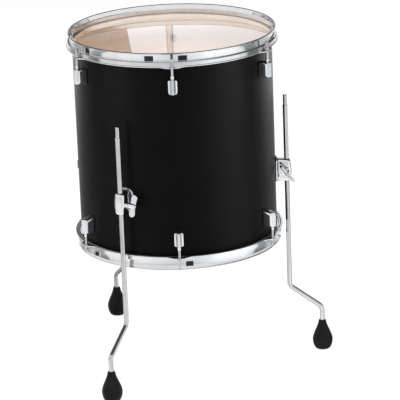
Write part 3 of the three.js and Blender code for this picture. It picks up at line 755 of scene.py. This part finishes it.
SCREW_HEIGHT = LUG_MOUTH - 17
LUG_SHAPE, NUT_SHAPE, ROD_SHAPE = lug_shape(), nut_shape(), rod_shape()
# pockets: azimuths where the neck sinks a little and takes a painted dark reflection
for end, height, flip, pockets in (
    ("batter", SHELL_TOP, 0, ((-56, -52), (-15.4, -9.6), (3.6, 8.2))),
    ("resonant", SHELL_BOTTOM, math.pi, ((-7.2, -3.6), (52.4, 56))),
):
    side = Matrix.Translation((0, 0, height)) @ Matrix.Rotation(flip, 4, "Y")
    emit(f"{end}_film", film_shape(), side, FILM, "drum", "head_film", f"{end}_head")
    emit(f"{end}_flesh_hoop", flesh_shape(), side, RING_ALLOY, "drum", "flesh_hoop")
    hoop = emit(
        f"{end}_pressed_hoop", hoop_shape(pockets), side, HOOP_CHROME, "drum", "hoop_chrome", f"{end}_hoop",
    )
    paint_neck_reflections(hoop, pockets, height, math.cos(flip))
    for i in range(LUGS):
        place = side @ turn(i * 360 / LUGS)
        number = i + 1
        emit(
            f"{end}_lug_casting_{number}", LUG_SHAPE, place, LUG_CHROME,
            "drum", "lug_chrome", f"{end}_lug_{number}",
        )
        emit(
            f"{end}_lug_screw_{number}", screw_shape(SCREW_HEIGHT), place, SCREW_STEEL,
            "drum", "rod_steel",
        )
        emit(
            f"{end}_nut_{number}", NUT_SHAPE, place, NUT_PLATE,
            "drum", "nut_metal", f"{end}_swivel_nut_{number}",
        )
        emit(
            f"{end}_rod_{number}_form", ROD_SHAPE, place, ROD_STEEL,
            f"{end}_rod_{number}", "rod_steel", f"{end}_tension_rod_{number}",
        )


# Leg brackets: distances from the drum's axis, and heights from the bracket's
BLOCK_FRONT, BLOCK_TOP, BLOCK_BOTTOM, BLOCK_HALF, BLOCK_BLEND = 235.4, 28.2, -9.5, 10.9, 5.5
NECK_FRONT, NECK_TOP, NECK_BOTTOM, NECK_HALF, NECK_BLEND = 232.8, 2, -20.9, 9.3, 3
NECK_CHAMFER = -16.3
CASTING_BACK, CASTING_HALF = 203.9, 11


def clamp_field(p):
    """Barrel-shaped block that holds the rod and the eye bolt."""
    across, out, up = p[:, 0], -p[:, 1], p[:, 2] - BRACKET_HEIGHT
    barrel = (across / CASTING_HALF) ** 2
    reach = BLOCK_FRONT - 2.6 * np.clip(up / 26, 0, 1) ** 1.5 - 2.0 * barrel
    crown = up - (BLOCK_TOP - 2.6 * (np.clip(out - 206, 0, 30) / 27) ** 1.5 - 0.8 * barrel)
    upper, lower = np.clip((up - 6) / 22, 0, 1), np.clip((2 - up) / 12, 0, 1)
    side = np.abs(across) - (BLOCK_HALF - 1.5 * upper ** 2 - 0.9 * lower ** 2)
    back = CASTING_BACK - np.hypot(across, out)
    return soft_max([side, out - reach, crown, BLOCK_BOTTOM - up, back], BLOCK_BLEND)


def neck_field(p):
    """Chamfered neck under the block."""
    across, out, up = p[:, 0], -p[:, 1], p[:, 2] - BRACKET_HEIGHT
    chamfer = (out - NECK_FRONT + (NECK_CHAMFER - up)) / math.sqrt(2)
    side = np.abs(across) - (NECK_HALF - 2.2 * np.clip((-9 - up) / 12, 0, 1) ** 2)
    back = CASTING_BACK - np.hypot(across, out)
    return soft_max([side, out - NECK_FRONT, chamfer, NECK_BOTTOM - up, up - NECK_TOP, back], NECK_BLEND)


def wrapped(rings, radius):
    """Rings of (across, height, stand-off) laid round a cylinder about the drum's axis."""
    laid = []
    for ring in rings:
        laid.append([
            (across, -(math.sqrt(radius ** 2 - across ** 2) + off), up) for across, up, off in ring
        ])
    return rings_body(laid)


FLANGE_SEAT, GASKET_SEAT = 203.8, 202.3
OUTLINE_STEPS = 12
RIM_STEPS = ((0, 0), (0, 1.4), (0.3, 1.9), (0.7, 2.2), (1.2, 2.2), (1.6, 1.8))     # inset, stand-off
GASKET_STEPS = ((0.2, 0), (0, 0.3), (0, 0.9), (0.3, 1.2))
AT_EYE = Matrix.Translation((0, -LEG_AXIS, CLAMP_HEIGHT))     # where leg rod and eye bolt cross


def stepped(outline, steps):
    return [[(x, z, off) for x, z in inset(outline, distance)] for distance, off in steps]


def flange_shapes():
    """The bracket's foot: a plate with a raised rim, and the domed face inside the rim."""
    steps, under, dome_start, dome_rise = 12, 0.4, 1.6, 7.0
    dome_inset, dome_run = 1.5, 9.5
    outline = rounded_outline(17, BRACKET_HEIGHT - 21, BRACKET_HEIGHT + 31, 14, OUTLINE_STEPS)
    dome = []
    for step in range(-1, steps + 1):
        share = max(step, 0) / steps
        stand = under if step < 0 else dome_start + dome_rise * (1 - math.cos(share * math.pi / 2))
        dome.append([(x, z, stand) for x, z in inset(outline, dome_inset + dome_run * share)])
    return wrapped(stepped(outline, RIM_STEPS), FLANGE_SEAT), wrapped(dome, FLANGE_SEAT)


def gasket_shape():
    outline = rounded_outline(18.2, BRACKET_HEIGHT - 22.2, BRACKET_HEIGHT + 32.2, 15.2, OUTLINE_STEPS)
    return wrapped(stepped(outline, GASKET_STEPS), GASKET_SEAT)


def boss_shape():
    profile = filleted([(0, 0), (5.4, 0), (5.0, 18.6), (0, 18.6)], 1.1, 4)
    return moved(lathe(profile, ROUND_SIDES), AT_EYE @ SIDEWAYS)


def eye_shape():
    """The eye bolt: a ring round the leg rod, and a shank with rings in place of a thread."""
    grooves, crest, root, end = 36, 3.0, 2.72, 2.6
    shank = [(0, 0)]
    for i in range(grooves):
        shank += [(crest, i + 0.05), (root, i + 0.55)]
    shank += [(end, grooves), (0, grooves)]
    ring = lathe(filleted([(5.6, -4), (7.9, -4), (7.9, 4), (5.6, 4)], 0.8, 3, True), ROUND_SIDES, True)
    return merged(moved(lathe(shank, SCREW_SIDES), AT_EYE @ SIDEWAYS), moved(ring, AT_EYE))


def wing_outline():
    tip_radius, tip_out, tip_up, steps = 6.6, 10.2, 15.9, 18
    waist_up, waist_far, waist_near = 5.4, 15.4, 3.6
    outline = []
    for side in (1, -1):
        arc = []
        for step in range(steps + 1):
            angle = math.pi * step / steps
            out, up = tip_out + tip_radius * math.cos(angle), tip_up + tip_radius * math.sin(angle)
            arc.append((out, side * up))
        waist = [(waist_far, side * waist_up), (waist_near, side * waist_up)]
        outline += [waist[0], *arc, waist[1]] if side > 0 else [waist[1], *reversed(arc), waist[0]]
    return outline


def wing_shape(lean):
    nut_start, half, rounding = 18.9, 2.8, 2.0
    hub = lathe(filleted([(0, 0), (6, 0), (5.9, 2.4), (4.9, 14.6), (0, 14.6)], 1.1, 4), ROUND_SIDES)
    wings = pillow(wing_outline(), half, rounding, 5)
    shape = merged(moved(hub, SIDEWAYS), moved(wings, OUTWARDS))
    place = Matrix.Translation((nut_start, -LEG_AXIS, CLAMP_HEIGHT))
    return moved(shape, place @ Matrix.Rotation(math.radians(lean), 4, "X"))


# Legs
LEG_RADIUS, BEND_RADIUS, BEND_STEPS = 5.0, 14, 14
LEG_LINE = [(LEG_AXIS, LEG_TOP), (LEG_AXIS, 141), (FOOT_AXIS, 92), (FOOT_AXIS, 21)]
LEG_TIP = [(0, 2.3), (0.2, 3.0), (0.8, 3.7), (1.9, 4.1), (21.4, 4.1), (22, 4.7), (22.4, LEG_RADIUS)]


def leg_shape():
    """A bent rod whose top end is turned down to a smaller, rounded tip."""
    line = filleted(LEG_LINE, BEND_RADIUS, BEND_STEPS)
    path = [(LEG_AXIS, LEG_TOP - fall) for fall, _ in LEG_TIP] + line[1:]
    radii = [radius for _, radius in LEG_TIP] + [LEG_RADIUS] * (len(line) - 1)
    return swept(path, radii, ROD_SIDES)


def foot_shape():
    """A pear-shaped rubber foot with a flat sole and a bore for the rod."""
    steps, widest, rise, neck, spread = 18, 22, 39.6, 7.6, 13.4
    sole, swelling, first_angle = 11, 10, 0.12
    curved, straight = 0.55, 0.45
    fall = []
    for step in range(1, steps + 1):
        share = step / steps
        round_share = (1 + math.cos(math.pi * share)) / 2
        radius = neck + spread * (curved * round_share + straight * (1 - share))
        fall.append((radius, widest + rise * share))
    angles = np.linspace(first_angle, math.pi / 2, 12)
    swell = [(sole + swelling * math.sin(a), widest - widest * math.cos(a)) for a in angles]
    bottom = [(0, 0), (9.9, 0), (sole, 0.2)]
    collar = [(7.3, 62.4), (6.4, 63), (5.3, 62.6), (5.3, 53), (0, 53)]
    profile = [*bottom, *swell, *fall, *collar]
    return moved(lathe(profile, FOOT_SIDES), Matrix.Translation((0, -FOOT_AXIS, 0)))


def bolt_shape():
    """The heads of the two bolts that hold the bracket."""
    head = filleted([(0, 8.9), (5.6, 8.9), (5.6, 6.2), (4.4, 4.9), (0, 4.9)], 0.8, 3)
    washer = filleted([(3, 8.4), (7.4, 8.4), (7.4, 9.7), (3, 9.7)], 0.3, 2, True)
    heights = (BRACKET_HEIGHT + 23, BRACKET_HEIGHT - 15)
    return merged(*(head_inside(head, washer, 10.1, height) for height in heights))


RIM_SHAPE, DISH_SHAPE = flange_shapes()
BLOCK_SHAPE = merged(
    cast_body(clamp_field, (0, -219, BRACKET_HEIGHT + 9), (11, 15, 18), 30),
    cast_body(neck_field, (0, -218, BRACKET_HEIGHT - 10), (9, 14, 11), 22),
    boss_shape(),
    RIM_SHAPE,
)
CLAMP_SHAPE = merged(BLOCK_SHAPE, DISH_SHAPE)
FLANGE_FACES = (len(BLOCK_SHAPE[1]), len(CLAMP_SHAPE[1]))
for place_name, azimuth in LEG_AZIMUTHS.items():
    place = turn(azimuth)
    handed = place @ Matrix.Scale(-1, 4, (1, 0, 0)) if place_name == "right" else place
    emit(
        f"{place_name}_leg_form", leg_shape(), place, ROD_STEEL,
        f"leg_{place_name}", "rod_steel", f"leg_rod_{place_name}",
    )
    emit(
        f"{place_name}_foot_form", foot_shape(), place, RUBBER,
        f"leg_{place_name}", "foot_rubber", f"foot_{place_name}",
    )
    casting = emit(
        f"{place_name}_clamp_casting", CLAMP_SHAPE, handed, CLAMP_CHROME,
        "drum", "bracket_chrome", f"leg_bracket_{place_name}",
    )
    # The domed face inside the rim takes a painted dark reflection
    casting.data.materials.append(FLANGE_DARK_REFLECTION)
    for face in casting.data.polygons:
        if FLANGE_FACES[0] <= face.index < FLANGE_FACES[1]:
            face.material_index = 1
    emit(f"{place_name}_clamp_bolts", bolt_shape(), place, SCREW_STEEL, "drum", "rod_steel")
    emit(
        f"{place_name}_gasket_form", gasket_shape(), place, PAD_RUBBER,
        "drum", "gasket_rubber", f"bracket_gasket_{place_name}",
    )
    emit(
        f"{place_name}_eye_form", eye_shape(), handed, ROD_STEEL,
        "drum", "rod_steel", f"eye_bolt_{place_name}",
    )
    emit(
        f"{place_name}_wing_form", wing_shape(WING_LEAN[place_name]), handed, CLAMP_CHROME,
        f"wing_nut_{place_name}", "bracket_chrome", f"wing_nut_{place_name}",
    )


# Vent eyelet
VENT_PROFILE = [
    (5, -9.3), (7.4, -9.3), (7.4, -7.4), (6.2, -7.4), (6.2, 0.3),
    (9, 0.3), (8.4, 1.8), (6.8, 2.4), (5, 1.6),
]


def vent_shape():
    eyelet = lathe(filleted(VENT_PROFILE, 0.5, 3, True), FOOT_SIDES, True)
    return moved(eyelet, Matrix.Translation((0, -SHELL_RADIUS, VENT_HEIGHT)) @ OUTWARDS)


emit("vent_eyelet", vent_shape(), turn(VENT_AZIMUTH), CLAMP_CHROME, "drum", "vent_metal", "vent_grommet")


# Floor, lamps and world
def white_share(tree):
    """1 for rays from the camera and for mirrored and refracted rays, 0 for the others."""
    path = tree.nodes.new("ShaderNodeLightPath")
    total = path.outputs["Is Camera Ray"]
    for name in ("Is Glossy Ray", "Is Transmission Ray"):
        either = tree.nodes.new("ShaderNodeMath")
        either.operation = "MAXIMUM"
        tree.links.new(total, either.inputs[0])
        tree.links.new(path.outputs[name], either.inputs[1])
        total = either.outputs[0]
    return total


# What mirrored rays see of the floor, chosen to match the photograph; the camera sees plain white.
# Bearings round the drum, as shares of a full turn: 0.25 faces the camera, 0.5 is right, 0.75 is behind.
FLOOR_ZONES = [
    (0, (0.10, 0.10, 0.10)), (0.012, (0.10, 0.10, 0.10)), (0.024, (0.95, 0.90, 0.87)),
    (0.10, (1.0, 0.98, 0.96)), (0.19, (0.85, 0.86, 0.88)), (0.25, (0.62, 0.65, 0.69)),
    (0.31, (0.90, 0.91, 0.93)), (0.36, (1.3, 1.3, 1.32)), (0.45, (1.3, 1.3, 1.32)),
    (0.485, (0.9, 0.9, 0.92)), (0.498, (0.05, 0.05, 0.05)), (0.537, (0.05, 0.05, 0.05)),
    (0.56, (0.45, 0.45, 0.46)), (0.61, (0.50, 0.50, 0.52)), (0.66, (1.0, 1.0, 1.0)),
    (0.83, (1.0, 0.96, 0.94)), (0.87, (0.25, 0.24, 0.23)), (0.93, (0.28, 0.27, 0.26)),
    (0.952, (0.75, 0.73, 0.71)), (0.964, (0.75, 0.73, 0.71)), (0.975, (0.28, 0.28, 0.28)),
    (0.999, (0.10, 0.10, 0.10)),
]
FLOOR_GLOW = 0.8
AMBIENT = 0.8


def floor_material():
    """White to the camera and zoned to mirrored rays; the rest of it is lit and holds the shadow."""
    material = bpy.data.materials.new("pale_floor")
    material.use_nodes = True
    tree = material.node_tree
    principled = tree.nodes["Principled BSDF"]
    principled.inputs["Base Color"].default_value = (0.9, 0.9, 0.9, 1)
    principled.inputs["Roughness"].default_value = 0.9
    principled.inputs["Specular IOR Level"].default_value = 0
    glow = tree.nodes.new("ShaderNodeEmission")
    place = tree.nodes.new("ShaderNodeTexCoord")
    bearing = tree.nodes.new("ShaderNodeTexGradient")
    bearing.gradient_type = "RADIAL"
    tree.links.new(place.outputs["Object"], bearing.inputs["Vector"])
    zones = tree.nodes.new("ShaderNodeValToRGB")
    elements = zones.color_ramp.elements
    while len(elements) < len(FLOOR_ZONES):
        elements.new(0.5)
    for element, (position, colour) in zip(elements, FLOOR_ZONES):
        element.position = position
        element.color = (*colour, 1)
    tree.links.new(bearing.outputs["Fac"], zones.inputs["Fac"])
    path = tree.nodes.new("ShaderNodeLightPath")
    tone = tree.nodes.new("ShaderNodeMix")
    tone.data_type = "RGBA"
    colours = [socket for socket in tone.inputs if socket.type == "RGBA"]
    colours[1].default_value = (1, 1, 1, 1)
    tree.links.new(zones.outputs["Color"], colours[0])
    tree.links.new(path.outputs["Is Camera Ray"], tone.inputs["Factor"])
    toned = [socket for socket in tone.outputs if socket.type == "RGBA"][0]
    tree.links.new(toned, glow.inputs["Color"])
    share = tree.nodes.new("ShaderNodeMath")
    share.operation = "MULTIPLY"
    share.inputs[1].default_value = FLOOR_GLOW
    tree.links.new(white_share(tree), share.inputs[0])
    mix = tree.nodes.new("ShaderNodeMixShader")
    tree.links.new(share.outputs[0], mix.inputs[0])
    tree.links.new(principled.outputs[0], mix.inputs[1])
    tree.links.new(glow.outputs[0], mix.inputs[2])
    tree.links.new(mix.outputs[0], tree.nodes["Material Output"].inputs["Surface"])
    return material


ground = bpy.data.meshes.new("floor")
reach = 40
square = [(-reach, -reach, 0), (reach, -reach, 0), (reach, reach, 0), (-reach, reach, 0)]
ground.from_pydata(square, [], [(0, 1, 2, 3)])
ground.materials.append(floor_material())
floor = bpy.data.objects.new("floor", ground)
bpy.context.scene.collection.objects.link(floor)


def weighted_sum(tree, output, weight, other):
    """An output times a weight, plus another output."""
    node = tree.nodes.new("ShaderNodeMath")
    node.operation = "MULTIPLY_ADD"
    node.inputs[1].default_value = weight
    tree.links.new(output, node.inputs[0])
    tree.links.new(other, node.inputs[2])
    return node.outputs[0]


world = bpy.data.worlds.new("studio")
bpy.context.scene.world = world
world.use_nodes = True
tree = world.node_tree
background = tree.nodes["Background"]
background.inputs["Color"].default_value = (1, 1, 1, 1)
# White up to the horizon and a dim ceiling above it, which starts higher up in front and on the left
direction = tree.nodes.new("ShaderNodeTexCoord")
parts = tree.nodes.new("ShaderNodeSeparateXYZ")
tree.links.new(direction.outputs["Generated"], parts.inputs[0])
slanted = weighted_sum(tree, parts.outputs["Y"], 0.45, parts.outputs["Z"])
sideways = weighted_sum(tree, parts.outputs["X"], 0.25, slanted)
ceiling = tree.nodes.new("ShaderNodeMapRange")
ceiling.interpolation_type = "SMOOTHSTEP"
for name, value in (("From Min", 0.46), ("From Max", 0.69), ("To Min", 1.0), ("To Max", 0.10)):
    ceiling.inputs[name].default_value = value
tree.links.new(sideways, ceiling.inputs["Value"])
strength = tree.nodes.new("ShaderNodeMix")
strength.inputs[2].default_value = AMBIENT
tree.links.new(white_share(tree), strength.inputs[0])
tree.links.new(ceiling.outputs["Result"], strength.inputs[3])
tree.links.new(strength.outputs[0], background.inputs["Strength"])


def softbox(name, place, target, size, power):
    """A soft rectangular lamp that the camera doesn't see."""
    light = bpy.data.lights.new(name, "AREA")
    light.shape = "RECTANGLE"
    light.size, light.size_y = size
    light.energy = power
    lamp = bpy.data.objects.new(name, light)
    lamp.location = place
    lamp.rotation_euler = (Vector(target) - Vector(place)).to_track_quat("-Z", "Y").to_euler()
    lamp.visible_camera = False
    bpy.context.scene.collection.objects.link(lamp)
    return lamp


# Lamps that nothing mirrors; inner hangs inside the drum and lights the wood
key = softbox("key", (-1.8, -2.2, 2.4), (0, 0, 0.45), (1.4, 1.4), 42)
top = softbox("top", (0, -0.5, 2.6), (0, 0, 0.6), (1.4, 1.4), 100)
inner = softbox("inner", (0, 0, 0.29), (0, 0, 0.6), (0.25, 0.25), 0.6)
for lamp in (key, top, inner):
    lamp.visible_glossy = False

# Lamps that light the shell's black skin and nothing else
SHEEN_SIZE, SHEEN_TARGET = (1.4, 0.5), (0, 0, 0.35)
lacquered = bpy.data.collections.new("lacquered")
bpy.context.scene.collection.children.link(lacquered)
lacquered.objects.link(shell_skin)
for name, place, power, colour in (
    ("sheen_right", (2.0, -0.95, 0.30), 19, (0.94, 0.94, 1.0)),
    ("sheen_left", (-1.9, -0.9, 0.30), 6, (1.0, 0.97, 0.95)),
    ("sheen_back_right", (1.7, 1.7, 0.35), 17, (1.0, 1.0, 1.0)),
    ("sheen_back_left", (-1.5, 1.75, 0.35), 9, (1.0, 0.93, 0.90)),
):
    lamp = softbox(name, place, SHEEN_TARGET, SHEEN_SIZE, power)
    lamp.data.color = colour
    lamp.light_linking.receiver_collection = lacquered

# Lamps behind the drum that the batter head mirrors
REAR_DISTANCE, REAR_HEIGHT, REAR_TALL, REAR_COLOUR = 1.5, 1.15, 0.9, (0.735, 0.872, 0.985)
for name, x, width, power in (
    ("rear_wide", 0.180, 0.48, 1.46),
    ("rear_post", -0.071, 0.014, 0.025),
    ("rear_narrow", -0.141, 0.12, 0.37),
):
    place, target = (x, REAR_DISTANCE, REAR_HEIGHT), (x, 0, REAR_HEIGHT)
    lamp = softbox(name, place, target, (width, REAR_TALL), power)
    lamp.data.color = REAR_COLOUR


# Camera: the photograph's place, direction, roll and lens
def camera():
    distance, height = 5.0, 1.92585
    yaw, pitch, roll, swing = (math.radians(a) for a in (0.51, 17.65, -2.18, 0.58))
    focal_pixels, frame_pixels = 2543.95, 400
    data = bpy.data.cameras.new("camera")
    data.sensor_width = 36
    data.lens = focal_pixels / frame_pixels * data.sensor_width
    data.clip_end = 100
    forward = Vector((math.sin(yaw) * math.cos(pitch), math.cos(yaw) * math.cos(pitch), -math.sin(pitch)))
    level = Vector((math.cos(yaw), -math.sin(yaw), 0))
    upward = level.cross(forward)
    right = math.cos(roll) * level + math.sin(roll) * upward
    above = math.cos(roll) * upward - math.sin(roll) * level
    pose = Matrix((right, above, -forward)).transposed().to_4x4()
    pose.translation = Vector((0, -distance, height))
    eye = bpy.data.objects.new("camera", data)
    eye.matrix_world = Matrix.Translation(AXIS) @ Matrix.Rotation(swing, 4, "Z") @ pose
    bpy.context.scene.collection.objects.link(eye)
    bpy.context.scene.camera = eye


camera()
bpy.context.scene.view_settings.view_transform = "Standard"
